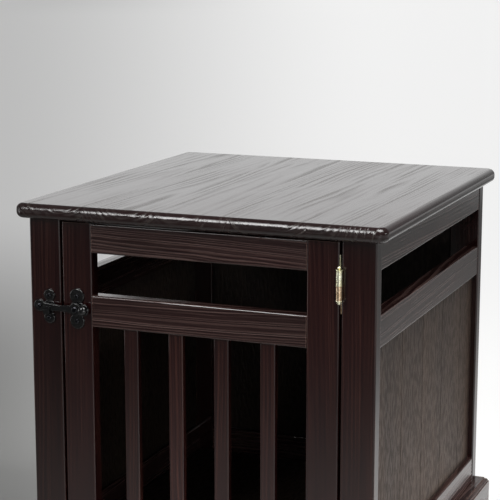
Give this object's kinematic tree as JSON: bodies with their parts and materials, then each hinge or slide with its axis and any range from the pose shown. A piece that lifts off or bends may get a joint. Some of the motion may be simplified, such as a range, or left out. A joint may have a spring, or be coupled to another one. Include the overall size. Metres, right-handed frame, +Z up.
{
  "type": "pet crate",
  "caption": "Wooden end-table pet crate with an overhanging top, grooved panels under open vents, a moulded base and a slatted front door on pin hinges with a drop latch.",
  "frame": {"origin": "on the floor, under the middle of the base", "axes": "+Z up; -Y is the front, where the door is; +X is the hinge side of the door"},
  "size_m": [0.494, 0.534, 0.54],
  "materials": {
    "stained_pine": "espresso stain under semi-gloss lacquer",
    "stained_plywood": "espresso stain under satin lacquer",
    "stained_softwood": "one coat of stain, unpolished",
    "brass": "polished",
    "black_iron": "black lacquer",
    "black_screw_steel": "blackened and polished",
    "zinc_screw_steel": "zinc plated"
  },
  "bodies": {
    "carcass": {"back_bottom_rail": "stained_pine", "back_floor_cleat": "stained_softwood", "back_panel": "stained_plywood", "back_top_rail": "stained_pine", "corner_block_screws": "zinc_screw_steel", "corner_blocks": "stained_softwood", "door_stop": "stained_pine", "floor_panel": "stained_plywood", "frame_hinge_screws": "brass", "front_base_board": "stained_pine", "front_floor_cleat": "stained_softwood", "front_left_post": "stained_pine", "front_right_post": "stained_pine", "front_sill": "stained_pine", "keeper_screws": "black_screw_steel", "latch_keeper": "black_iron", "left_base_board": "stained_pine", "left_bottom_rail": "stained_pine", "left_floor_cleat": "stained_softwood", "left_mid_rail": "stained_pine", "left_panel": "stained_plywood", "left_top_rail": "stained_pine", "lower_hinge_frame_leaf": "brass", "lower_hinge_pin": "brass", "lower_hinge_washer": "brass", "rear_base_board": "stained_pine", "rear_left_post": "stained_pine", "rear_right_post": "stained_pine", "right_base_board": "stained_pine", "right_bottom_rail": "stained_pine", "right_floor_cleat": "stained_softwood", "right_mid_rail": "stained_pine", "right_panel": "stained_plywood", "right_top_rail": "stained_pine", "top_board": "stained_pine", "upper_hinge_frame_leaf": "brass", "upper_hinge_pin": "brass", "upper_hinge_washer": "brass"},
    "door": {"door_bottom_rail": "stained_pine", "door_hinge_screws": "brass", "door_hinge_stile": "stained_pine", "door_latch_stile": "stained_pine", "door_mid_rail": "stained_pine", "door_slat_1": "stained_pine", "door_slat_2": "stained_pine", "door_slat_3": "stained_pine", "door_slat_4": "stained_pine", "door_top_rail": "stained_pine", "latch_pivot": "black_screw_steel", "latch_plate": "black_iron", "latch_plate_screws": "black_screw_steel", "lower_hinge_door_leaf": "brass", "upper_hinge_door_leaf": "brass"},
    "latch": {"latch_lever": "black_iron"}
  },
  "joints": [
    {"name": "door_swing", "type": "hinge", "parent": "carcass", "child": "door", "pos_m": [0.1855, -0.255, 0.298], "axis": [0, 0, 1], "range_deg": [0, 180]},
    {"name": "latch_lift", "type": "hinge", "parent": "door", "child": "latch", "pos_m": [-0.1635, -0.257, 0.40825], "axis": [0, 1, 0], "range_deg": [0, 90]}
  ]
}
